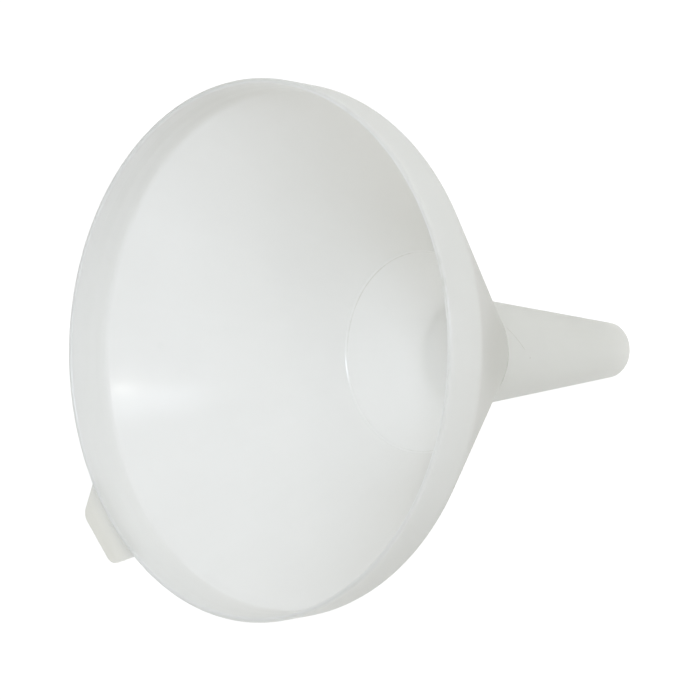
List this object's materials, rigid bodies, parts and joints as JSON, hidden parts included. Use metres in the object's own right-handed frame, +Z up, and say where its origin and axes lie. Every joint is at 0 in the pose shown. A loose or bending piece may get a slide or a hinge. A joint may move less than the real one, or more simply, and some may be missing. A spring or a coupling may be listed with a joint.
{
  "type": "funnel",
  "caption": "Wide-mouthed conical funnel with a short upright collar, a long tapered stem and a small flat rim tab, moulded in milky translucent plastic.",
  "frame": {"origin": "centre of the stem's outlet, at the part's lowest plane", "axes": "+Z up the funnel's axis from the outlet to the mouth, +X from the axis to the rim tab"},
  "size_m": [0.1271, 0.12, 0.135],
  "materials": {
    "translucent_plastic": "satin, milky translucent"
  },
  "bodies": {
    "root": {"collar": "translucent_plastic", "cone": "translucent_plastic", "stem": "translucent_plastic", "rim_tab": "translucent_plastic"}
  },
  "joints": []
}
